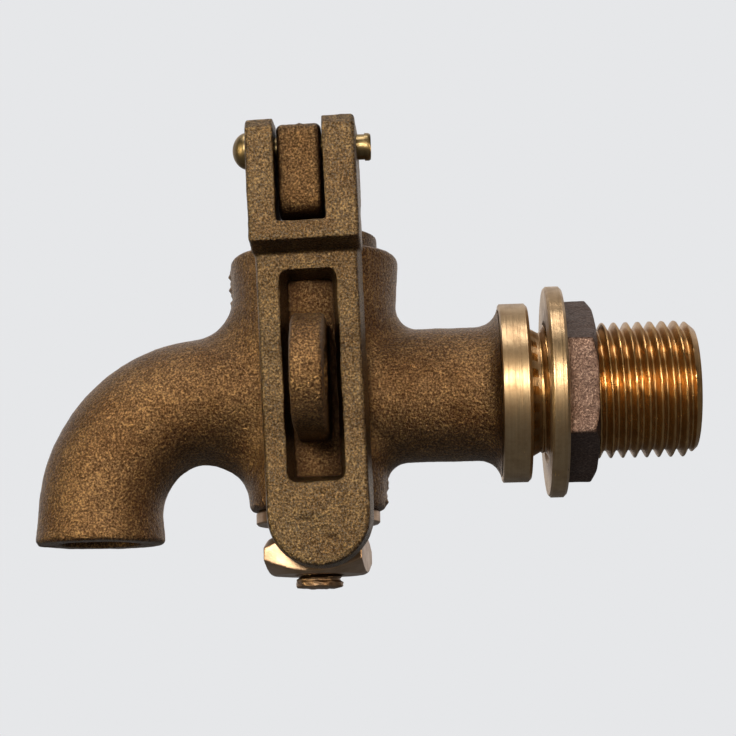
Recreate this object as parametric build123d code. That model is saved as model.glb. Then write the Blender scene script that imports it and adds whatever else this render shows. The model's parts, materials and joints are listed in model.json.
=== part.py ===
"""Lockable plug-cock bib tap with a half-inch wall thread.

The plug axis is Z while the pieces are built, and the inlet runs along X a little below the
datum height of the barrel.  Each finished piece is then shifted so that the origin is the centre
of the collar's wall face: +X points into the wall, +Z up, and -Y is the side with the lever.
All lengths are in millimetres.
"""

from build123d import *
import os
from math import atan2, degrees

# ---- barrel: the conical housing round the plug ----
BARREL_TOP_Z = 20.9
BARREL_BOTTOM_Z = -18.7
BARREL_TOP_R = 13.25
BARREL_BOTTOM_R = 10.46
BARREL_EDGE = 1.0
SEAT_TOP_R = 9.0
SEAT_BOTTOM_R = 6.5

# ---- neck, wall collar and threaded tail ----
INLET_Z = -1.1
NECK_R = 10.35
NECK_BLEND = 3.5
COLLAR_R = 13.75
COLLAR_START_X = 28.3
COLLAR_FACE_X = 32.7
COLLAR_EDGE = 0.5
SHANK_R = 10.2
THREAD_R = 10.4
THREAD_START_X = 42.7
TAIL_END_X = 57.8
TAIL_CHAMFER = 1.4
INLET_BORE_R = 6.25
INLET_BORE_START_X = 18.0
WATERWAY_R = 6.0

# ---- spout: level leg, quarter bend, short drop ----
SPOUT_R = 9.65
SPOUT_LIP_R = 10.1
SPOUT_AXIS_Z = -0.9
BEND_START_X = -16.0
BEND_R = 17.8
OUTLET_Z = -23.1
OUTLET_BORE_R = 6.25
SPOUT_BLEND = 6.6
LIP_EDGE = 0.8

# ---- padlock staple on the front of the barrel ----
STAPLE_THICK = 4.8
STAPLE_X = 0.6
STAPLE_Z = -0.7
STAPLE_R = 8.6
STAPLE_EYE_Y = -21.3
STAPLE_EYE_R = 4.0
STAPLE_EDGE = 0.7

# ---- plug ----
PLUG_CLEARANCE = 0.05
PLUG_TAPER_END_Z = -18.4
PORT_WIDTH = 7.0
PORT_HEIGHT = 13.0
PLUG_COLLAR_R = 9.9
PLUG_COLLAR_Z = 21.0
PLUG_COLLAR_TOP_Z = 24.0
KEY_R = 4.5
KEY_FLATS = 7.0
STUB_R = 3.7
STUB_END_Z = -30.6
LUG_X = -0.3
LUG_THICK = 6.6
LUG_EDGE = 0.9
LUG_BORE_R = 1.98
LUG_LEAN = 1.4

# ---- lever ----
PIVOT_Y = -17.0
PIVOT_Z = 33.8
LEVER_TILT = 4.0
PLATE_FRONT_Y = -2.32
PLATE_BACK_Y = 2.68
PLATE_BACK_WIDTH = 16.0
PLATE_FRONT_WIDTH = 15.0
PLATE_TIP_Z = -62.2
SLOT_TOP_Z = -18.4
SLOT_BOTTOM_Z = -49.4
SLOT_FRONT_WIDTH = 8.4
SLOT_BACK_WIDTH = 6.6
SLOT_CORNER_R = 1.3
PLATE_EDGE = 0.7
FORK_LEFT_X = -8.1
FORK_RIGHT_X = 8.15
FORK_FRONT_Y = -6.3
FORK_TOP_Z = 3.8
FORK_GAP = 7.1
FORK_GAP_BOTTOM_Z = -11.7
FORK_EDGE = 0.7
FORK_BORE_R = 1.95

# ---- lever pin ----
PIN_R = 1.9
PIN_HEAD_R = 2.75
PIN_HEAD_RISE = 2.3
PIN_PEEN_R = 2.1
PIN_PEEN_RISE = 1.0

# ---- washers and nuts ----
WASHER_R = 9.5
WASHER_TOP_Z = -18.75
WASHER_BOTTOM_Z = -20.7
KEY_GAP = 0.05
SPRING_R = 6.8
SPRING_BORE_R = 4.1
SPRING_BOTTOM_Z = -22.5
SPRING_SPLIT = 1.2
SPRING_SPLIT_LEAN = 20.0
NUT_FLATS = 14.8
NUT_BOTTOM_Z = -28.4
NUT_TURN = -3.5
NUT_BORE_R = 3.75
NUT_END_R = 7.0
CHAMFER_ANGLE_RISE = 0.577
BACKNUT_START_X = 35.3
BACKNUT_FLANGE_END_X = 37.9
BACKNUT_END_X = 42.6
BACKNUT_FLANGE_R = 16.2
BACKNUT_FLATS = 24.3
BACKNUT_TURN = 34.7
BACKNUT_BORE_R = 10.45
BACKNUT_END_R = 12.4


def turned(points, axis):
    """A solid of revolution from its half profile; points are (along, radius) pairs."""
    if axis == "X":
        outline = [(along, 0.0, radius) for along, radius in points]
        return revolve(make_face(Polyline(*outline, close=True)), Axis.X)
    outline = [(radius, 0.0, along) for along, radius in points]
    return revolve(make_face(Polyline(*outline, close=True)), Axis.Z)


def cylinder_x(radius, start_x, end_x):
    """A round bar along X."""
    middle = Pos((start_x + end_x) / 2, 0, 0)
    return middle * Rot(Y=90) * Cylinder(radius, end_x - start_x)


def cylinder_z(radius, low_z, high_z):
    """A round bar along Z."""
    return Pos(0, 0, (low_z + high_z) / 2) * Cylinder(radius, high_z - low_z)


def side_plate(corners, centre_x, thickness):
    """A plate of the given (y, z) outline, square to X."""
    outline = [(centre_x - thickness / 2, y, z) for y, z in corners]
    face = make_face(Polyline(*outline, close=True))
    return extrude(face, amount=thickness, dir=(1, 0, 0))


def round_spout(radius, end_radius):
    """A round tube filled solid along the spout's centreline, with its own radius at the outlet."""
    outlet_x = BEND_START_X - BEND_R
    bend_end_z = SPOUT_AXIS_Z - BEND_R
    level = Pos(BEND_START_X / 2, 0, SPOUT_AXIS_Z) * Rot(Y=90) * Cylinder(radius, -BEND_START_X)
    ring = Plane(origin=(BEND_START_X, 0, SPOUT_AXIS_Z), z_dir=(-1, 0, 0)) * Circle(radius)
    bend_axis = Axis((BEND_START_X, 0, bend_end_z), (0, -1, 0))
    bend = revolve(ring, bend_axis, 90)
    drop_height = bend_end_z - OUTLET_Z
    drop_middle = Pos(outlet_x, 0, (bend_end_z + OUTLET_Z) / 2)
    if end_radius == radius:
        drop = Cylinder(radius, drop_height)
    else:
        drop = Cone(end_radius, radius, drop_height)
    return level + bend + drop_middle * drop


def barrel_blank():
    """The conical barrel before it is bored."""
    cone = turned(
        [
            (BARREL_BOTTOM_Z, 0),
            (BARREL_BOTTOM_Z, BARREL_BOTTOM_R),
            (BARREL_TOP_Z, BARREL_TOP_R),
            (BARREL_TOP_Z, 0),
        ],
        "Z",
    )
    return fillet(cone.edges().filter_by(GeomType.CIRCLE), BARREL_EDGE)


def neck_and_collar():
    """The neck, its flare and the turned wall collar."""
    flare = COLLAR_R - NECK_R
    flare_start = COLLAR_START_X - flare
    profile = [
        Line((0, 0, 0), (0, 0, NECK_R)),
        Line((0, 0, NECK_R), (flare_start, 0, NECK_R)),
        CenterArc((0, 0, 0), flare, 270, 90).moved(
            Pos(flare_start, 0, COLLAR_R) * Rot(X=90)
        ),
        Line((COLLAR_START_X, 0, COLLAR_R), (COLLAR_FACE_X, 0, COLLAR_R)),
        Line((COLLAR_FACE_X, 0, COLLAR_R), (COLLAR_FACE_X, 0, 0)),
        Line((COLLAR_FACE_X, 0, 0), (0, 0, 0)),
    ]
    solid = revolve(make_face(profile), Axis.X)
    rim = solid.edges().filter_by(GeomType.CIRCLE).sort_by(Axis.X)[-1]
    return Pos(0, 0, INLET_Z) * chamfer(rim, COLLAR_EDGE)


def tail():
    """The shank and the threaded end, as plain cylinders at the thread's outside size."""
    shank = cylinder_x(SHANK_R, COLLAR_FACE_X - 1.0, THREAD_START_X)
    thread = cylinder_x(THREAD_R, THREAD_START_X, TAIL_END_X)
    end = thread.edges().filter_by(GeomType.CIRCLE).sort_by(Axis.X)[-1]
    return Pos(0, 0, INLET_Z) * (shank + chamfer(end, TAIL_CHAMFER))


def staple():
    """The half-round tongue that a padlock goes through."""
    root_y = -(BARREL_BOTTOM_R - 2.5)
    length = root_y - STAPLE_EYE_Y
    block = Box(STAPLE_THICK, length, 2 * STAPLE_R)
    block = Pos(0, (root_y + STAPLE_EYE_Y) / 2, STAPLE_Z) * block
    nose = Pos(0, STAPLE_EYE_Y, STAPLE_Z) * Rot(Y=90) * Cylinder(STAPLE_R, STAPLE_THICK)
    tongue = (block + nose).clean()
    rims = tongue.edges().filter_by(lambda e: abs(abs(e.center().X) - STAPLE_THICK / 2) < 0.01)
    rims = rims.filter_by(lambda e: e.center().Y < root_y - 0.5)
    tongue = fillet(rims, STAPLE_EDGE)
    eye = Pos(0, STAPLE_EYE_Y, STAPLE_Z) * Rot(Y=90) * Cylinder(STAPLE_EYE_R, 2 * STAPLE_THICK)
    return Pos(STAPLE_X, 0, 0) * (tongue - eye)


def tap_body():
    """The casting: barrel, neck, collar, tail, spout and staple, bored through."""
    barrel = barrel_blank()
    body = barrel + neck_and_collar()
    body = fillet(joint_edges(body, 4.0, 16.0), NECK_BLEND)
    body = body + round_spout(SPOUT_R, SPOUT_LIP_R)
    body = fillet(joint_edges(body, -16.0, -4.0), SPOUT_BLEND)
    lip = body.edges().filter_by(GeomType.CIRCLE).sort_by(Axis.Z)[0]
    body = fillet(lip, LIP_EDGE)
    body = body + tail() + staple()
    seat = Pos(0, 0, (BARREL_TOP_Z + BARREL_BOTTOM_Z) / 2) * Cone(
        SEAT_BOTTOM_R, SEAT_TOP_R, BARREL_TOP_Z - BARREL_BOTTOM_Z
    )
    body = body - seat
    body = body - Pos(0, 0, INLET_Z) * cylinder_x(WATERWAY_R, 0, TAIL_END_X)
    body = body - Pos(0, 0, INLET_Z) * cylinder_x(INLET_BORE_R, INLET_BORE_START_X, TAIL_END_X)
    body = body - round_spout(WATERWAY_R, WATERWAY_R)
    outlet = cylinder_z(OUTLET_BORE_R, OUTLET_Z, SPOUT_AXIS_Z - BEND_R)
    return body - Pos(BEND_START_X - BEND_R, 0, 0) * outlet


def joint_edges(body, low_x, high_x):
    """The curved edges where a round branch meets the barrel between two x positions."""
    found = body.edges().filter_by(lambda e: low_x < e.center().X < high_x)
    found = found.filter_by(lambda e: e.geom_type not in (GeomType.LINE, GeomType.CIRCLE))
    return found


def seat_radius(z):
    """The radius of the barrel's tapered seat at a height."""
    share = (z - BARREL_BOTTOM_Z) / (BARREL_TOP_Z - BARREL_BOTTOM_Z)
    return SEAT_BOTTOM_R + share * (SEAT_TOP_R - SEAT_BOTTOM_R)


def leaning(shape):
    """Tips a shape a little towards the spout about the top of the plug's collar."""
    return Pos(0, 0, PLUG_COLLAR_TOP_Z) * Rot(Y=-LUG_LEAN) * Pos(0, 0, -PLUG_COLLAR_TOP_Z) * shape


def lug():
    """The forward lug on the plug's head that carries the lever pin."""
    corners = [
        (-21.5, 22.6),
        (-21.5, 36.8),
        (-8.5, 36.8),
        (5.0, 27.0),
        (5.0, 22.6),
    ]
    plate = side_plate(corners, LUG_X, LUG_THICK)
    across = plate.edges().filter_by(Axis.X)
    bottom_front = across.filter_by(lambda e: e.center().Y < -20 and e.center().Z < 25)
    plate = fillet(bottom_front, 3.2)
    across = plate.edges().filter_by(Axis.X)
    upper = across.filter_by(lambda e: e.center().Z > 30)
    plate = fillet(upper, 1.8)
    sides = plate.edges().filter_by(lambda e: abs(abs(e.center().X - LUG_X) - LUG_THICK / 2) < 0.01)
    plate = fillet(sides, LUG_EDGE)
    bore = Pos(LUG_X, PIVOT_Y, PIVOT_Z) * Rot(Y=90) * Cylinder(LUG_BORE_R, 2 * LUG_THICK)
    return leaning(plate - bore)


def plug():
    """The tapered plug with its port, collar, lug, washer key and stub."""
    body = turned(
        [
            (STUB_END_Z, 0),
            (STUB_END_Z, STUB_R - 0.6),
            (STUB_END_Z + 0.6, STUB_R),
            (WASHER_BOTTOM_Z, STUB_R),
            (WASHER_BOTTOM_Z, KEY_R),
            (PLUG_TAPER_END_Z, KEY_R),
            (PLUG_TAPER_END_Z, seat_radius(PLUG_TAPER_END_Z) - PLUG_CLEARANCE),
            (BARREL_TOP_Z, seat_radius(BARREL_TOP_Z) - PLUG_CLEARANCE),
            (PLUG_COLLAR_Z, seat_radius(BARREL_TOP_Z) - PLUG_CLEARANCE),
            (PLUG_COLLAR_Z, PLUG_COLLAR_R),
            (PLUG_COLLAR_TOP_Z, PLUG_COLLAR_R),
            (PLUG_COLLAR_TOP_Z, 0),
        ],
        "Z",
    )
    key_height = PLUG_TAPER_END_Z - WASHER_BOTTOM_Z
    for side in (-1, 1):
        flat = Box(4 * KEY_R, KEY_R, key_height)
        flat_y = side * (KEY_FLATS / 2 + KEY_R / 2)
        body = body - Pos(0, flat_y, (PLUG_TAPER_END_Z + WASHER_BOTTOM_Z) / 2) * flat
    port = Rot(X=90) * extrude(
        SlotOverall(PORT_HEIGHT, PORT_WIDTH, rotation=90), amount=2 * PLUG_COLLAR_R, both=True
    )
    body = body - port
    return body + lug()


def lever_plate():
    """The slotted plate with a round lower end, in the lever's own frame."""
    thickness = PLATE_BACK_Y - PLATE_FRONT_Y
    edge_draft = degrees(atan2((PLATE_BACK_WIDTH - PLATE_FRONT_WIDTH) / 2, thickness))
    slot_draft = degrees(atan2((SLOT_FRONT_WIDTH - SLOT_BACK_WIDTH) / 2, thickness))
    end_r = PLATE_BACK_WIDTH / 2
    top_z = FORK_GAP_BOTTOM_Z - 1.0
    end_z = PLATE_TIP_Z + end_r
    back = Plane.XZ.offset(-PLATE_BACK_Y)
    outline = Pos(0, (top_z + end_z) / 2) * Rectangle(PLATE_BACK_WIDTH, top_z - end_z)
    outline = outline + Pos(0, end_z) * Circle(end_r)
    plate = extrude(back * outline, amount=thickness, taper=edge_draft)
    front = Plane.XZ.offset(-PLATE_FRONT_Y)
    slot_middle = (SLOT_TOP_Z + SLOT_BOTTOM_Z) / 2
    slot_face = Pos(0, slot_middle) * RectangleRounded(
        SLOT_FRONT_WIDTH, SLOT_TOP_Z - SLOT_BOTTOM_Z, SLOT_CORNER_R
    )
    slot = extrude(front * slot_face, amount=-thickness, taper=slot_draft)
    front_rim = plate.edges().filter_by(lambda e: abs(e.center().Y - PLATE_FRONT_Y) < 0.01)
    front_rim = front_rim.filter_by(lambda e: e.center().Z < top_z - 0.1)
    return fillet(front_rim, PLATE_EDGE), slot


def fork():
    """The two prongs and the web under them, in the lever's own frame."""
    corners = [
        (FORK_FRONT_Y, -14.5),
        (FORK_FRONT_Y, FORK_TOP_Z - 1.5),
        (FORK_FRONT_Y + 1.5, FORK_TOP_Z),
        (4.5, FORK_TOP_Z),
        (8.0, -0.5),
        (7.6, -6.8),
        (2.8, -11.0),
        (PLATE_BACK_Y, -15.9),
        (PLATE_FRONT_Y, -15.9),
    ]
    middle_x = (FORK_LEFT_X + FORK_RIGHT_X) / 2
    width = FORK_RIGHT_X - FORK_LEFT_X
    block = side_plate(corners, middle_x, width)
    sides = block.edges().filter_by(lambda e: abs(abs(e.center().X - middle_x) - width / 2) < 0.01)
    block = fillet(sides, FORK_EDGE)
    gap_height = FORK_TOP_Z - FORK_GAP_BOTTOM_Z + 1.0
    gap = Box(FORK_GAP, 40, gap_height)
    return block, Pos(LUG_X, 0, FORK_GAP_BOTTOM_Z + gap_height / 2) * gap


def lever():
    """The locking lever, lying against the barrel."""
    plate, slot = lever_plate()
    block, gap = fork()
    solid = plate + block - gap - slot
    solid = solid - cylinder_x(FORK_BORE_R, 2 * FORK_LEFT_X, 2 * FORK_RIGHT_X)
    return leaning(Pos(0, PIVOT_Y, PIVOT_Z) * Rot(X=LEVER_TILT) * solid)


def lever_pin():
    """The rivet through the fork: domed head on one side, peened on the other."""
    shank = turned(
        [
            (FORK_LEFT_X - PIN_HEAD_RISE, 0),
            (FORK_LEFT_X - PIN_HEAD_RISE, 0.9),
            (FORK_LEFT_X - 0.75 * PIN_HEAD_RISE, 1.9),
            (FORK_LEFT_X - 0.4 * PIN_HEAD_RISE, 2.5),
            (FORK_LEFT_X, PIN_HEAD_R),
            (FORK_LEFT_X, PIN_R),
            (FORK_RIGHT_X, PIN_R),
            (FORK_RIGHT_X, PIN_PEEN_R),
            (FORK_RIGHT_X + 0.7 * PIN_PEEN_RISE, PIN_PEEN_R),
            (FORK_RIGHT_X + PIN_PEEN_RISE, 1.5),
            (FORK_RIGHT_X + PIN_PEEN_RISE, 0),
        ],
        "X",
    )
    return leaning(Pos(0, PIVOT_Y, PIVOT_Z) * shank)


def keyed_washer():
    """The flat washer whose double-D hole turns with the plug."""
    disc = cylinder_z(WASHER_R, WASHER_BOTTOM_Z, WASHER_TOP_Z)
    disc = chamfer(disc.edges().filter_by(GeomType.CIRCLE), 0.25)
    middle_z = (WASHER_BOTTOM_Z + WASHER_TOP_Z) / 2
    hole = cylinder_z(KEY_R + KEY_GAP, WASHER_BOTTOM_Z - 1, WASHER_TOP_Z + 1)
    band = Pos(0, 0, middle_z) * Box(4 * KEY_R, KEY_FLATS + 2 * KEY_GAP, 6)
    return disc - (hole & band)


def spring_washer():
    """The split spring washer between the keyed washer and the nut."""
    ring = cylinder_z(SPRING_R, SPRING_BOTTOM_Z, WASHER_BOTTOM_Z)
    ring = ring - cylinder_z(SPRING_BORE_R, SPRING_BOTTOM_Z - 1, WASHER_BOTTOM_Z + 1)
    middle_z = (SPRING_BOTTOM_Z + WASHER_BOTTOM_Z) / 2
    split = Pos(0, SPRING_R, middle_z) * Rot(Y=SPRING_SPLIT_LEAN)
    return ring - split * Box(SPRING_SPLIT, SPRING_R, 8)


def retaining_nut():
    """The square nut, chamfered at both ends."""
    corner_r = NUT_FLATS * 0.7072
    bevel = (corner_r - NUT_END_R) * CHAMFER_ANGLE_RISE
    envelope = turned(
        [
            (NUT_BOTTOM_Z, 0),
            (NUT_BOTTOM_Z, NUT_END_R),
            (NUT_BOTTOM_Z + bevel, corner_r),
            (SPRING_BOTTOM_Z - bevel, corner_r),
            (SPRING_BOTTOM_Z, NUT_END_R),
            (SPRING_BOTTOM_Z, 0),
        ],
        "Z",
    )
    height = SPRING_BOTTOM_Z - NUT_BOTTOM_Z
    middle_z = (SPRING_BOTTOM_Z + NUT_BOTTOM_Z) / 2
    block = Pos(0, 0, middle_z) * Rot(Z=NUT_TURN) * Box(NUT_FLATS, NUT_FLATS, height)
    return (block & envelope) - cylinder_z(NUT_BORE_R, NUT_BOTTOM_Z - 1, SPRING_BOTTOM_Z + 1)


def flanged_backnut():
    """The hexagon backnut with its turned flange towards the collar."""
    flange = cylinder_x(BACKNUT_FLANGE_R, BACKNUT_START_X, BACKNUT_FLANGE_END_X)
    flange = chamfer(flange.edges().filter_by(GeomType.CIRCLE), 0.4)
    width = BACKNUT_END_X - BACKNUT_FLANGE_END_X
    corner_r = BACKNUT_FLATS / 1.732
    hexagon = extrude(
        Plane.YZ * RegularPolygon(corner_r, 6, rotation=BACKNUT_TURN), amount=width
    )
    hexagon = Pos(BACKNUT_FLANGE_END_X, 0, 0) * hexagon
    bevel = (corner_r - BACKNUT_END_R) * CHAMFER_ANGLE_RISE
    envelope = turned(
        [
            (BACKNUT_FLANGE_END_X, 0),
            (BACKNUT_FLANGE_END_X, corner_r + 0.1),
            (BACKNUT_END_X - bevel, corner_r + 0.1),
            (BACKNUT_END_X, BACKNUT_END_R),
            (BACKNUT_END_X, 0),
        ],
        "X",
    )
    solid = flange + (hexagon & envelope)
    solid = solid - cylinder_x(BACKNUT_BORE_R, BACKNUT_START_X - 1, BACKNUT_END_X + 1)
    return Pos(0, 0, INLET_Z) * solid


PIECES = {
    "tap_body": tap_body,
    "plug": plug,
    "lever": lever,
    "lever_pin": lever_pin,
    "keyed_washer": keyed_washer,
    "spring_washer": spring_washer,
    "retaining_nut": retaining_nut,
    "flanged_backnut": flanged_backnut,
}

os.makedirs("parts", exist_ok=True)
for name, make in PIECES.items():
    export_step(Pos(-COLLAR_FACE_X, 0, -INLET_Z) * make(), f"parts/{name}.step")
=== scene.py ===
import json
import math

import bmesh
import bpy
import numpy as np
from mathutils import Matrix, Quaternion, Vector


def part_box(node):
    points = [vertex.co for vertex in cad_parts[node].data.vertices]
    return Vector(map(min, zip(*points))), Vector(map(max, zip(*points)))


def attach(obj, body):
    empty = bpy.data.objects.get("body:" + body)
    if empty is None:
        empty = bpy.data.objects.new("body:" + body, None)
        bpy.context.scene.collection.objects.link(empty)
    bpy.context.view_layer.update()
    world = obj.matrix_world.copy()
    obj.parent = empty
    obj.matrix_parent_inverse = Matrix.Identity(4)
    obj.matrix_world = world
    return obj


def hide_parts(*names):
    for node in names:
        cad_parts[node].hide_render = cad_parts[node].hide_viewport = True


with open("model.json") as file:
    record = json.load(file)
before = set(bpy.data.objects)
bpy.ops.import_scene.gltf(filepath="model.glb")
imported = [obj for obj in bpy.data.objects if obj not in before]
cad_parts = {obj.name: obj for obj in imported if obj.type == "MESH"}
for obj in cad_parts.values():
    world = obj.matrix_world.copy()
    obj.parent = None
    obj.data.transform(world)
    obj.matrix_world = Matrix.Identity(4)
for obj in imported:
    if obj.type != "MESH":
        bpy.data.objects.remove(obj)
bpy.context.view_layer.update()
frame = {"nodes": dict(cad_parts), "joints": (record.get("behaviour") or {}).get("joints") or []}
MM = 0.001
NODES = frame["nodes"]
JOINTS = {j["name"]: j for j in frame["joints"]}
PLUG_X = JOINTS["plug_turn"]["pos_m"][0]
PLUG_MM = PLUG_X / MM
PIVOT = Vector(JOINTS["lever_lift"]["pos_m"])
TAU = 2 * math.pi


# ---------------------------------------------------------------- mesh helpers
def new_object(name, mesh):
    obj = bpy.data.objects.new(name, mesh)
    bpy.context.scene.collection.objects.link(obj)
    return obj


def smooth(mesh):
    mesh.polygons.foreach_set("use_smooth", [True] * len(mesh.polygons))
    mesh.update()


def baked(obj):
    """Applies the object's modifiers to its mesh."""
    bpy.context.view_layer.update()
    graph = bpy.context.evaluated_depsgraph_get()
    mesh = bpy.data.meshes.new_from_object(obj.evaluated_get(graph))
    obj.modifiers.clear()
    old = obj.data
    obj.data = mesh
    bpy.data.meshes.remove(old)
    return obj


def node_copy(node, name, cuts=()):
    """A new object from a CAD node's mesh, trimmed by planes; each cut keeps the side it points to."""
    mesh = NODES[node].data.copy()
    mesh.materials.clear()
    bm = bmesh.new()
    bm.from_mesh(mesh)
    bmesh.ops.remove_doubles(bm, verts=bm.verts, dist=1e-6)
    for point, direction in cuts:
        geom = bm.verts[:] + bm.edges[:] + bm.faces[:]
        made = bmesh.ops.bisect_plane(
            bm, geom=geom, dist=1e-7, plane_co=point, plane_no=direction, clear_inner=True
        )
        edges = [e for e in made["geom_cut"] if isinstance(e, bmesh.types.BMEdge)]
        if edges:
            bmesh.ops.triangle_fill(bm, edges=edges, use_beauty=True)
    bm.to_mesh(mesh)
    bm.free()
    return new_object(name, mesh)


def remeshed(obj, voxel_mm, relax=3):
    """Even small quads over the piece, with its machined corners softened."""
    mod = obj.modifiers.new("voxels", "REMESH")
    mod.mode = "VOXEL"
    mod.voxel_size = voxel_mm * MM
    mod.adaptivity = 0.0
    if relax:
        mod = obj.modifiers.new("relax", "SMOOTH")
        mod.factor = 0.5
        mod.iterations = relax
    return baked(obj)


def clouds(obj, size_mm, height_mm, mid=0.6):
    """Pushes the surface in and out by procedural noise."""
    tex = bpy.data.textures.new("clouds", "CLOUDS")
    tex.noise_scale = size_mm * MM
    tex.noise_depth = 1
    tex.noise_basis = "ORIGINAL_PERLIN"
    mod = obj.modifiers.new("clouds", "DISPLACE")
    mod.texture = tex
    mod.texture_coords = "LOCAL"
    mod.strength = height_mm * MM
    mod.mid_level = mid
    return obj


def vertex_arrays(mesh):
    n = len(mesh.vertices)
    co = np.zeros(n * 3)
    no = np.zeros(n * 3)
    mesh.vertices.foreach_get("co", co)
    mesh.vertex_normals.foreach_get("vector", no)
    return co.reshape(-1, 3) / MM, no.reshape(-1, 3)


def set_vertices(mesh, co_mm):
    mesh.vertices.foreach_set("co", (co_mm * MM).ravel())
    mesh.update()


def lathe(name, profile, axis="X", centre=(0, 0, 0), steps=160, wobble=None):
    """A closed ring of surface from (along, radius) points in mm.

    wobble(along, radius, turn), where it is given, returns the final radius.
    """
    turn = np.arange(steps) * TAU / steps
    along = np.array([p[0] for p in profile])[:, None] + 0 * turn[None, :]
    radius = np.array([p[1] for p in profile])[:, None] + 0 * turn[None, :]
    angle = turn[None, :] + 0 * along
    if wobble:
        radius = wobble(along, radius, angle)
    a, b = radius * np.cos(angle), radius * np.sin(angle)
    if axis == "X":
        co = np.stack([along, a, b], -1)
    else:
        co = np.stack([a, b, along], -1)
    co = co.reshape(-1, 3) + np.array(centre)
    rows = len(profile)
    i = np.arange(rows)[:, None]
    j = np.arange(steps)[None, :]
    i2, j2 = (i + 1) % rows, (j + 1) % steps
    quads = np.stack([i * steps + j, i * steps + j2, i2 * steps + j2, i2 * steps + j], -1)
    quads = quads.reshape(-1, 4)
    mesh = bpy.data.meshes.new(name)
    mesh.from_pydata((co * MM).tolist(), [], quads.tolist())
    bm = bmesh.new()
    bm.from_mesh(mesh)
    bmesh.ops.remove_doubles(bm, verts=bm.verts, dist=1e-7)
    bmesh.ops.recalc_face_normals(bm, faces=bm.faces)
    bm.to_mesh(mesh)
    bm.free()
    smooth(mesh)
    return new_object(name, mesh)


def finer(profile, step_mm):
    """The same profile with points no further apart than a step."""
    out = []
    for k, (a, r) in enumerate(profile):
        b, s = profile[(k + 1) % len(profile)]
        n = max(1, int(math.hypot(b - a, s - r) / step_mm))
        out += [(a + (b - a) * t / n, r + (s - r) * t / n) for t in range(n)]
    return out


def crisp(obj, degrees=35):
    """Flat faces stay flat and round ones stay round."""
    smooth(obj.data)
    obj.data.set_sharp_from_angle(angle=math.radians(degrees))
    return obj


# ---------------------------------------------------------------- materials
class Nodes:
    """A short way to write a node tree."""

    def __init__(self, name):
        self.mat = bpy.data.materials.new(name)
        self.mat.use_nodes = True
        self.tree = self.mat.node_tree
        self.bsdf = self.tree.nodes["Principled BSDF"]

    def add(self, kind, **settings):
        node = self.tree.nodes.new("ShaderNode" + kind)
        for key, value in settings.items():
            if hasattr(node, key):
                setattr(node, key, value)
            else:
                node.inputs[key].default_value = value
        return node

    def link(self, a, b):
        self.tree.links.new(a, b)

    def position(self):
        coord = self.add("TexCoord")
        scale = self.add("VectorMath", operation="SCALE")
        scale.inputs["Scale"].default_value = 1000.0
        self.link(coord.outputs["Object"], scale.inputs[0])
        return scale.outputs[0]

    def noise(self, vector, scale, detail=3.0, rough=0.55, distortion=0.0):
        node = self.add("TexNoise")
        node.inputs["Scale"].default_value = scale
        node.inputs["Detail"].default_value = detail
        node.inputs["Roughness"].default_value = rough
        node.inputs["Distortion"].default_value = distortion
        self.link(vector, node.inputs["Vector"])
        return node.outputs["Fac"]

    def ramp(self, factor, stops):
        node = self.add("ValToRGB")
        elements = node.color_ramp.elements
        while len(elements) < len(stops):
            elements.new(0.5)
        for element, (at, colour) in zip(elements, stops):
            element.position = at
            value = colour if isinstance(colour, tuple) else (colour, colour, colour)
            element.color = (*value, 1.0)
        self.link(factor, node.inputs[0])
        return node.outputs[0]

    def mix(self, factor, a, b, blend="MIX"):
        node = self.add("Mix", data_type="RGBA", blend_type=blend)
        if isinstance(factor, (int, float)):
            node.inputs[0].default_value = factor
        else:
            self.link(factor, node.inputs[0])
        for socket, value in ((node.inputs[6], a), (node.inputs[7], b)):
            if isinstance(value, tuple):
                socket.default_value = (*value, 1.0)
            else:
                self.link(value, socket)
        return node.outputs[2]

    def math(self, operation, a, b=0.0, c=0.0, clamp=False):
        node = self.add("Math", operation=operation)
        node.use_clamp = clamp
        for socket, value in zip(node.inputs, (a, b, c)):
            if isinstance(value, (int, float)):
                socket.default_value = value
            else:
                self.link(value, socket)
        return node.outputs[0]

    def bump(self, height, distance_mm, strength=1.0, before=None):
        node = self.add("Bump")
        node.inputs["Strength"].default_value = strength
        node.inputs["Distance"].default_value = distance_mm * MM
        self.link(height, node.inputs["Height"])
        if before is not None:
            self.link(before, node.inputs["Normal"])
        return node.outputs[0]


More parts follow.
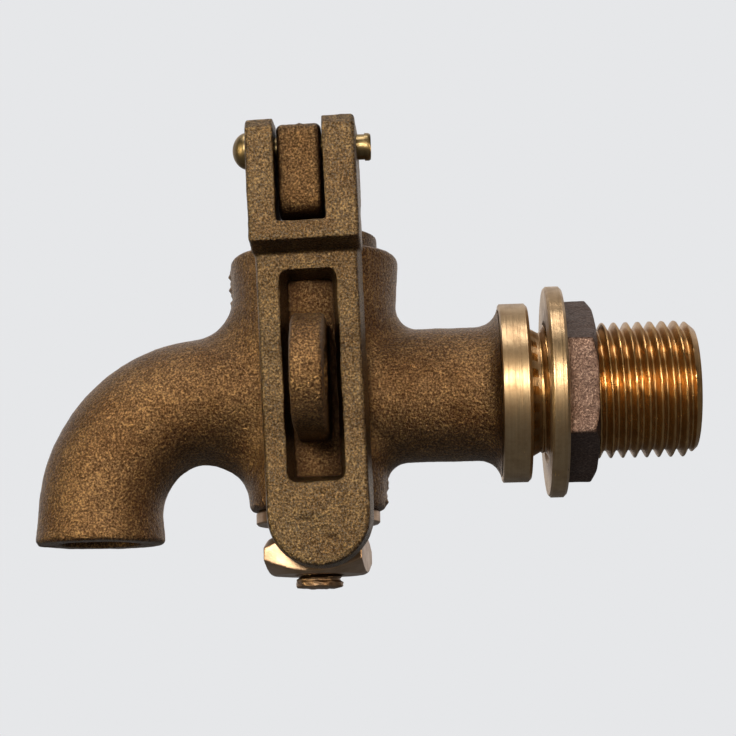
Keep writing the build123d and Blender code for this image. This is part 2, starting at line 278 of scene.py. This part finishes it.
def cast_bronze(name, dark, middle, bright, rough=0.42, grain=0.14, grey=0.0):
    """Sand-cast bronze: brown skin, gold where the grain stands up, and painted shade blackening the
    hollows.
    """
    n = Nodes(name)
    at = n.position()
    fine = n.noise(at, 3.4, 4.0, 0.62)
    sand = n.noise(at, 2.2, 2.0, 0.5)
    patch = n.noise(at, 0.16, 3.0, 0.6)
    height = n.math("ADD", n.math("MULTIPLY", fine, 0.9), n.math("MULTIPLY", sand, 0.2))
    skin = n.ramp(height, [(0.42, dark), (0.56, middle), (0.72, bright)])
    stain = n.ramp(patch, [(0.35, (0.72, 0.66, 0.62)), (0.65, (1.0, 1.0, 1.0))])
    skin = n.mix(1.0, skin, stain, "MULTIPLY")
    if grey:
        speck = n.noise(at, 5.5, 2.0, 0.5)
        dull = n.ramp(speck, [(0.52, 0.0), (0.64, 1.0)])
        skin = n.mix(n.math("MULTIPLY", dull, grey), skin, (0.13, 0.12, 0.10))
    # painted shade: ambient occlusion darkens the base colour toward near black in creases and hollows,
    # where shade falls
    hollow = n.add("AmbientOcclusion", samples=8)
    hollow.inputs["Distance"].default_value = 4.5 * MM
    shade = n.ramp(hollow.outputs["AO"], [(0.30, 0.0), (0.85, 1.0)])
    skin = n.mix(shade, (0.035, 0.018, 0.009), skin)
    n.link(skin, n.bsdf.inputs["Base Color"])
    n.bsdf.inputs["Metallic"].default_value = 1.0
    gloss = n.math("MULTIPLY_ADD", n.math("SUBTRACT", patch, 0.5), 0.25, rough)
    gloss = n.math("MULTIPLY_ADD", n.math("SUBTRACT", fine, 0.5), -0.35, gloss)
    n.link(gloss, n.bsdf.inputs["Roughness"])
    normal = n.bump(sand, grain, 0.8)
    normal = n.bump(fine, grain, 1.0, normal)
    n.link(normal, n.bsdf.inputs["Normal"])
    return n.mat


def turned_brass(name, colour, dull, rough=0.24, axis="X", centre=(0, 0, 0), marks=0.02):
    """Lathe-turned brass with rings of tool marks round an axis, nicks and fingered dullness."""
    n = Nodes(name)
    at = n.position()
    shift = n.add("VectorMath", operation="SUBTRACT")
    shift.inputs[1].default_value = centre
    n.link(at, shift.inputs[0])
    split = n.add("SeparateXYZ")
    n.link(shift.outputs[0], split.inputs[0])
    x, y, z = split.outputs
    along, a, b = (x, y, z) if axis == "X" else (z, x, y)
    square = n.math("ADD", n.math("MULTIPLY", a, a), n.math("MULTIPLY", b, b))
    radius = n.math("SQRT", square)
    ring = n.add("CombineXYZ")
    n.link(along, ring.inputs[0])
    n.link(radius, ring.inputs[1])
    rings = n.noise(ring.outputs[0], 7.0, 3.0, 0.7)
    coarse = n.noise(ring.outputs[0], 1.6, 2.0, 0.5)
    patch = n.noise(at, 0.35, 4.0, 0.65)
    nick = n.noise(at, 1.3, 6.0, 0.75, 1.5)
    tone = n.ramp(patch, [(0.32, dull), (0.62, colour)])
    tone = n.mix(n.ramp(coarse, [(0.35, 0.35), (0.65, 0.0)]), tone, dull)
    scar = n.ramp(nick, [(0.66, 0.0), (0.72, 1.0)])
    tone = n.mix(scar, tone, tuple(0.45 * c for c in dull))
    n.link(tone, n.bsdf.inputs["Base Color"])
    n.bsdf.inputs["Metallic"].default_value = 1.0
    gloss = n.math("MULTIPLY_ADD", n.math("SUBTRACT", patch, 0.5), -0.30, rough)
    gloss = n.math("MULTIPLY_ADD", n.math("SUBTRACT", rings, 0.5), 0.25, gloss)
    n.link(gloss, n.bsdf.inputs["Roughness"])
    normal = n.bump(rings, marks, 1.0)
    normal = n.bump(n.math("SUBTRACT", coarse, scar), marks * 1.8, 1.0, normal)
    n.link(normal, n.bsdf.inputs["Normal"])
    return n.mat


STUB_AXIS = (PLUG_MM, 0, 0)
PIN_AXIS = (0, PIVOT.y / MM, PIVOT.z / MM)
CAST = cast_bronze(
    "cast_bronze", (0.062, 0.034, 0.018), (0.160, 0.094, 0.045), (0.44, 0.27, 0.11), 0.36, 0.22
)
LUG = cast_bronze(
    "lug_bronze", (0.045, 0.026, 0.013), (0.125, 0.076, 0.036), (0.36, 0.22, 0.09), 0.40, 0.20
)
LEVER = cast_bronze(
    "lever_bronze", (0.050, 0.031, 0.016), (0.130, 0.085, 0.042), (0.38, 0.26, 0.115), 0.37, 0.20, 0.6
)
HEX = cast_bronze(
    "hex_bronze", (0.06, 0.038, 0.031), (0.10, 0.066, 0.053), (0.20, 0.14, 0.11), 0.40, 0.05
)
TURNED = turned_brass("collar_brass", (0.50, 0.355, 0.20), (0.31, 0.205, 0.11), 0.36, marks=0.03)
THREAD = turned_brass("thread_brass", (0.52, 0.315, 0.125), (0.31, 0.175, 0.07), 0.30)
NUT = turned_brass(
    "nut_brass", (0.44, 0.30, 0.19), (0.31, 0.205, 0.125), 0.38, "Z", STUB_AXIS, 0.012
)
PIN = turned_brass("pin_brass", (0.32, 0.235, 0.115), (0.17, 0.12, 0.055), 0.38, "X", PIN_AXIS)
PEEN = turned_brass(
    "peened_brass", (0.34, 0.22, 0.13), (0.16, 0.10, 0.055), 0.42, "Z", STUB_AXIS, 0.05
)


# ---------------------------------------------------------------- pieces
def finish_piece(obj, material, body, slot, *nodes):
    obj.data.materials.clear()
    obj.data.materials.append(material)
    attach(obj, body)
    if nodes:
        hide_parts(*nodes)
    return obj


def box_mm(node):
    lo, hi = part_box(node)
    return np.array(lo) / MM, np.array(hi) / MM


COLLAR_START = -4.4
COLLAR_R = 13.75
TAIL_BORE_R = 6.25
THREAD_R = 10.4
THREAD_START = 1.6
PITCH = 25.4 / 14
THREAD_DEPTH = 1.16


def make_casting():
    """Everything on the tap body that was left as it came out of the sand."""
    obj = node_copy("tap_body", "tap_casting", [((COLLAR_START * MM, 0, 0), (-1, 0, 0))])
    remeshed(obj, 0.3, 3)
    co, no = vertex_arrays(obj.data)
    outer = np.hypot(co[:, 0] - PLUG_MM, co[:, 1]) > 9.3
    on_line = np.exp(-((co[:, 1] / 0.4) ** 2)) * (np.abs(no[:, 1]) < 0.5)
    spout = np.clip((PLUG_MM - 11 - co[:, 0]) / 3, 0, 1)
    rise = 0.16 * on_line * spout * (0.6 + 0.4 * np.sin(co[:, 0] * 0.9))
    co += no * (rise * outer)[:, None]
    for side, low, high, deep in ((-1, 14.5, 21.0, 0.55), (1, -18.0, -12.0, 0.40)):
        along = np.clip((co[:, 2] - low) / 1.2, 0, 1) * np.clip((high - co[:, 2]) / 1.2, 0, 1)
        ragged = 0.5 + 0.3 * np.sin(co[:, 2] * 2.6) + 0.2 * np.sin(co[:, 2] * 6.1 + 1)
        here = np.exp(-((co[:, 1] / 0.7) ** 2)) * (side * (co[:, 0] - PLUG_MM) > 8.5)
        here = here * (side * no[:, 0] > 0.5)
        co[:, 0] += side * deep * along * ragged * here
    set_vertices(obj.data, co)
    clouds(obj, 5.0, 0.24, 0.62)
    clouds(obj, 1.2, 0.08)
    clouds(obj, 0.55, 0.10)
    baked(obj)
    smooth(obj.data)
    return finish_piece(obj, CAST, "tap", "cast_bronze", "tap_body")


def make_tail():
    """The turned collar and the pipe thread, with the bore through them."""
    end = box_mm("tap_body")[1][0]
    bore = TAIL_BORE_R
    relief = THREAD_R - THREAD_DEPTH - 0.1
    outer = [
        (COLLAR_START + 0.02, 12.6), (COLLAR_START + 0.02, COLLAR_R - 0.25),
        (COLLAR_START + 0.22, COLLAR_R), (-0.45, COLLAR_R), (0.0, COLLAR_R - 0.45),
        (0.0, relief + 0.3), (0.15, relief),
    ]
    start = finer(outer + [(THREAD_START, relief)], 0.5)[:-2]
    start = [p for p in start if p[0] < THREAD_START - 0.1 or p[1] > relief]
    length = end - THREAD_START
    count = int(length / PITCH * 22)
    thread = [(THREAD_START + length * k / count, THREAD_R) for k in range(count + 1)]
    close = [(end, 8.3), (end, bore + 0.5), (end - 0.4, bore + 0.05), (end - 1.0, bore)]
    close += [(x, bore) for x in (end - 6, end - 12, end - 18, 0, COLLAR_START + 0.02)]
    close += [(COLLAR_START + 0.02, 9.0)]

    def helix(along, radius, turn):
        on = (along >= THREAD_START - 1e-6) & (np.abs(radius - THREAD_R) < 1e-6)
        phase = (along / PITCH - turn / TAU) % 1.0
        wave = 1 - 2 * np.abs(phase - 0.5)
        wave = np.clip((wave - 0.10) / 0.78, 0, 1)
        wave = 0.7 * wave + 0.3 * (0.5 - 0.5 * np.cos(wave * math.pi))
        r = THREAD_R - THREAD_DEPTH * wave
        limit = THREAD_R - np.clip(along - (end - 1.4), 0, 2) * 0.9
        fade = np.clip((along - THREAD_START) / 0.8, 0, 1)
        r = relief + (np.minimum(r, limit) - relief) * fade
        r += 0.012 * np.sin(turn * 23 + along * 3.1)
        return np.where(on, r, radius)

    obj = lathe("collar_and_thread", start + thread + close, "X", steps=224, wobble=helix)
    crisp(obj, 40)
    finish_piece(obj, TURNED, "tap", "cast_bronze")
    obj.data.materials.append(THREAD)
    centres = np.zeros(len(obj.data.polygons) * 3)
    obj.data.polygons.foreach_get("center", centres)
    index = (centres.reshape(-1, 3)[:, 0] > 0.0004).astype(int)
    obj.data.polygons.foreach_set("material_index", index)
    return obj


def make_backnut():
    """The turned flange and the as-cast hexagon of the backnut."""
    lo, hi = box_mm("flanged_backnut")
    face = lo[0] + 2.6
    r = hi[1]
    inner = 10.45
    profile = [
        (lo[0], inner + 0.6), (lo[0], r - 0.35), (lo[0] + 0.35, r), (face - 0.4, r), (face, r - 0.4),
        (face, 11.0), (face, inner), (lo[0] + 0.6, inner),
    ]

    def nicked(along, radius, turn):
        dent = 0.10 * np.exp(-(((turn - 4.1) / 0.03) ** 2))
        dent = dent + 0.07 * np.exp(-(((turn - 2.4) / 0.05) ** 2))
        return radius - dent * (radius > r - 0.5)

    flange = lathe("backnut_flange", finer(profile, 0.4), "X", steps=240, wobble=nicked)
    crisp(flange, 30)
    finish_piece(flange, TURNED, "backnut", "backnut_brass")
    hexagon = node_copy("flanged_backnut", "backnut_hexagon", [(((face - 0.3) * MM, 0, 0), (1, 0, 0))])
    remeshed(hexagon, 0.2, 3)
    co, no = vertex_arrays(hexagon.data)
    wide = (co[:, 0] < face + 0.05) & (np.hypot(co[:, 1], co[:, 2]) > 12.0)
    co[wide, 0] = np.minimum(co[wide, 0], face - 0.15)
    set_vertices(hexagon.data, co)
    clouds(hexagon, 3.0, 0.14)
    clouds(hexagon, 0.8, 0.05)
    baked(hexagon)
    smooth(hexagon.data)
    return finish_piece(hexagon, HEX, "backnut", "backnut_brass", "flanged_backnut")


def make_plug():
    """The plug: cast head and lug, tapered key, and the threaded stub with its peened end."""
    lo, hi = box_mm("plug")
    shoulder = box_mm("keyed_washer")[0][2]
    head = node_copy("plug", "plug_head", [((0, 0, (shoulder + 0.02) * MM), (0, 0, 1))])
    remeshed(head, 0.25, 3)
    co, no = vertex_arrays(head.data)
    lug_x = PLUG_MM - 0.3
    above = np.clip((co[:, 2] - 25.3) / 0.6, 0, 1)
    line = np.exp(-(((co[:, 0] - lug_x - 0.15 * np.sin(co[:, 2] * 0.8)) / 0.28) ** 2))
    co += no * (0.14 * line * above * (np.abs(no[:, 0]) < 0.6))[:, None]
    set_vertices(head.data, co)
    group = head.vertex_groups.new(name="cast")
    for weight in (0.0, 0.5, 1.0):
        picked = np.flatnonzero(np.abs(np.round(above * 2) / 2 - weight) < 0.01)
        group.add(picked.tolist(), weight, "REPLACE")
    for size, height in ((4.0, 0.26), (1.0, 0.06), (0.5, 0.07)):
        clouds(head, size, height)
        head.modifiers[-1].vertex_group = "cast"
    baked(head)
    smooth(head.data)
    finish_piece(head, LUG, "plug", "plug_bronze", "plug")
    top, bottom, r, pitch = shoulder + 0.3, lo[2], 3.7, 1.25
    profile = [(top, 0.02), (top, r - 0.7)]
    count = int((top - bottom - 0.5) / pitch * 14)
    profile += [(top - (top - bottom - 0.5) * k / count, r) for k in range(count + 1)]
    profile += [(bottom + 0.25, r - 0.25), (bottom + 0.1, 2.4), (bottom + 0.25, 1.2), (bottom + 0.35, 0.02)]

    def stub(along, radius, turn):
        phase = (along / pitch - turn / TAU) % 1.0
        wave = 1 - 2 * np.abs(phase - 0.5)
        clear = np.clip((along - bottom - 1.1) / 0.5, 0, 1)
        out = radius - 0.62 * wave * clear
        out += (1 - clear) * (0.10 * np.sin(3 * turn + 1) + 0.08 * np.sin(7 * turn + along * 4))
        return np.where(radius > r - 0.01, out - 0.02, radius)

    obj = lathe("plug_stub", profile, "Z", STUB_AXIS, 96, stub)
    clouds(obj, 1.2, 0.35, 0.75)
    baked(obj)
    smooth(obj.data)
    return finish_piece(obj, PEEN, "plug", "plug_bronze")


def make_lever():
    """The slotted lever with its fork."""
    obj = node_copy("lever", "lever_casting")
    remeshed(obj, 0.22, 3)
    clouds(obj, 4.0, 0.22, 0.62)
    clouds(obj, 1.1, 0.07)
    clouds(obj, 0.5, 0.08)
    baked(obj)
    co, no = vertex_arrays(obj.data)
    foot = co[:, 2].min()
    front = no[:, 1] < -0.6
    for dx, dz, wide, deep in ((-0.8, 6.6, 1.5, 0.35), (0.6, 5.4, 0.9, 0.25), (3.4, 4.2, 0.8, 0.2)):
        far = np.hypot((co[:, 0] - PLUG_MM - dx) / wide, (co[:, 2] - foot - dz) / (0.45 * wide))
        co[:, 1] += deep * np.exp(-far ** 2) * front
    set_vertices(obj.data, co)
    smooth(obj.data)
    return finish_piece(obj, LEVER, "lever", "lever_bronze", "lever")


def make_pin():
    """The rivet: domed on one side, upset on the other."""
    lo, hi = box_mm("lever_pin")
    fork_lo, fork_hi = box_mm("lever")
    left, right = fork_lo[0], fork_hi[0]
    rise = left - lo[0]
    big = (hi[2] - lo[2]) / 2
    dome = [(left - rise * math.sin(t), big * math.cos(t)) for t in np.linspace(0.12, 1.54, 12)][::-1]
    profile = [(lo[0], 0.02)] + dome + [(left + 0.05, big - 0.05), (left + 0.05, 1.88)]
    profile += [(right - 0.05, 1.88), (right - 0.05, 2.05), (right + 0.55, 2.08)]
    profile += [(right + 0.82, 1.9), (hi[0], 1.45), (hi[0] - 0.05, 0.02)]

    def struck(along, radius, turn):
        soft = 0.05 * np.sin(2 * turn + 0.6) + 0.03 * np.sin(5 * turn + along)
        return radius + soft * (along > right + 0.3) * (radius > 0.5)

    obj = lathe("lever_rivet", finer(profile, 0.35), "X", PIN_AXIS, 72, struck)
    crisp(obj, 45)
    return finish_piece(obj, PIN, "lever", "pin_brass", "lever_pin")


def make_nut():
    """The square nut, with its bevelled ends."""
    obj = node_copy("retaining_nut", "square_nut")
    remeshed(obj, 0.14, 3)
    clouds(obj, 2.5, 0.06)
    baked(obj)
    smooth(obj.data)
    return finish_piece(obj, NUT, "plug", "nut_brass", "retaining_nut")


make_casting()
make_tail()
make_backnut()
make_plug()
make_lever()
make_pin()
make_nut()
for node, material in (("keyed_washer", NUT), ("spring_washer", PEEN)):
    part = NODES[node]
    part.data.materials.clear()
    part.data.materials.append(material)


# ---------------------------------------------------------------- camera, stage and light
DISTANCE = 0.265
AZIMUTH = math.radians(4.0)
ELEVATION = math.radians(-9.0)
ROLL = math.radians(1.0)
SENSOR_MM = 36.0
LENS_MM = 83.495
SHIFT = (0.0702, 0.0418)


def make_camera():
    """Where the camera stands: a little below the tap and a touch to its wall side."""
    aim = Vector((PLUG_X, 0, 0))
    back = Vector((
        math.sin(AZIMUTH) * math.cos(ELEVATION),
        -math.cos(AZIMUTH) * math.cos(ELEVATION),
        math.sin(ELEVATION),
    ))
    data = bpy.data.cameras.new("camera")
    data.sensor_width = SENSOR_MM
    data.lens = LENS_MM
    data.clip_start, data.clip_end = 0.01, 50.0
    data.shift_x, data.shift_y = SHIFT
    cam = new_object("camera", data)
    cam.rotation_mode = "QUATERNION"
    cam.rotation_quaternion = (-back).to_track_quat("-Z", "Y") @ Quaternion((0, 0, 1), -ROLL)
    cam.location = aim + back * DISTANCE
    bpy.context.scene.camera = cam


PALE = (0.791, 0.799, 0.815)


def make_stage():
    """A pale floor well below the tap."""
    mat = bpy.data.materials.new("floor")
    mat.use_nodes = True
    tree = mat.node_tree
    tree.nodes.clear()
    out = tree.nodes.new("ShaderNodeOutputMaterial")
    glow = tree.nodes.new("ShaderNodeEmission")
    glow.inputs["Color"].default_value = (*PALE, 1)
    dim = tree.nodes.new("ShaderNodeEmission")
    dim.inputs["Color"].default_value = (*(0.16 * c for c in PALE), 1)
    path = tree.nodes.new("ShaderNodeLightPath")
    mix = tree.nodes.new("ShaderNodeMixShader")
    tree.links.new(path.outputs["Is Camera Ray"], mix.inputs[0])
    tree.links.new(dim.outputs[0], mix.inputs[1])
    tree.links.new(glow.outputs[0], mix.inputs[2])
    tree.links.new(mix.outputs[0], out.inputs["Surface"])
    mesh = bpy.data.meshes.new("floor")
    s, z = 4.0, -0.14
    mesh.from_pydata([(-s, -s, z), (s, -s, z), (s, s, z), (-s, s, z)], [], [(0, 1, 2, 3)])
    mesh.materials.append(mat)
    new_object("floor", mesh)


def make_world():
    """Pale to the camera; for reflections a dark room with a bright paper wall behind the tap."""
    world = bpy.data.worlds.new("studio")
    bpy.context.scene.world = world
    world.use_nodes = True
    tree = world.node_tree
    tree.nodes.clear()
    add = tree.nodes.new
    out = add("ShaderNodeOutputWorld")
    shown, felt, mix = add("ShaderNodeBackground"), add("ShaderNodeBackground"), add("ShaderNodeMixShader")
    shown.inputs["Color"].default_value = (*PALE, 1)
    path = add("ShaderNodeLightPath")
    coord, split = add("ShaderNodeTexCoord"), add("ShaderNodeSeparateXYZ")
    tree.links.new(coord.outputs["Generated"], split.inputs[0])
    behind = add("ShaderNodeMapRange")
    behind.interpolation_type = "SMOOTHSTEP"
    for socket, value in zip(behind.inputs[1:5], (-0.05, 0.60, 0.012, 0.80)):
        socket.default_value = value
    tree.links.new(split.outputs["Y"], behind.inputs[0])
    felt.inputs["Color"].default_value = (1.0, 0.94, 0.90, 1)
    tree.links.new(behind.outputs[0], felt.inputs["Strength"])
    tree.links.new(path.outputs["Is Camera Ray"], mix.inputs[0])
    tree.links.new(felt.outputs[0], mix.inputs[1])
    tree.links.new(shown.outputs[0], mix.inputs[2])
    tree.links.new(mix.outputs[0], out.inputs["Surface"])


def softbox(name, place, size, power, colour=(1, 1, 1), aim=(-0.025, 0, 0)):
    data = bpy.data.lights.new(name, "AREA")
    data.shape = "RECTANGLE"
    data.size, data.size_y = size
    data.energy = power
    data.color = colour
    lamp = new_object(name, data)
    lamp.location = place
    lamp.rotation_mode = "QUATERNION"
    lamp.rotation_quaternion = (Vector(aim) - Vector(place)).to_track_quat("-Z", "Y")
    return lamp


make_camera()
make_stage()
make_world()
softbox("key", (-0.12, -0.85, 0.14), (0.22, 0.16), 6.2, (1.0, 0.92, 0.80))
softbox("above", (-0.10, -0.20, 0.70), (0.50, 0.25), 3.0, (1.0, 0.95, 0.92))
softbox("side", (0.50, -0.60, 0.05), (0.14, 0.30), 2.2, (1.0, 0.80, 0.58))
softbox("left", (-0.60, -0.36, 0.02), (0.10, 0.36), 2.2, (1.0, 0.84, 0.55))
bpy.context.scene.view_settings.view_transform = "Standard"
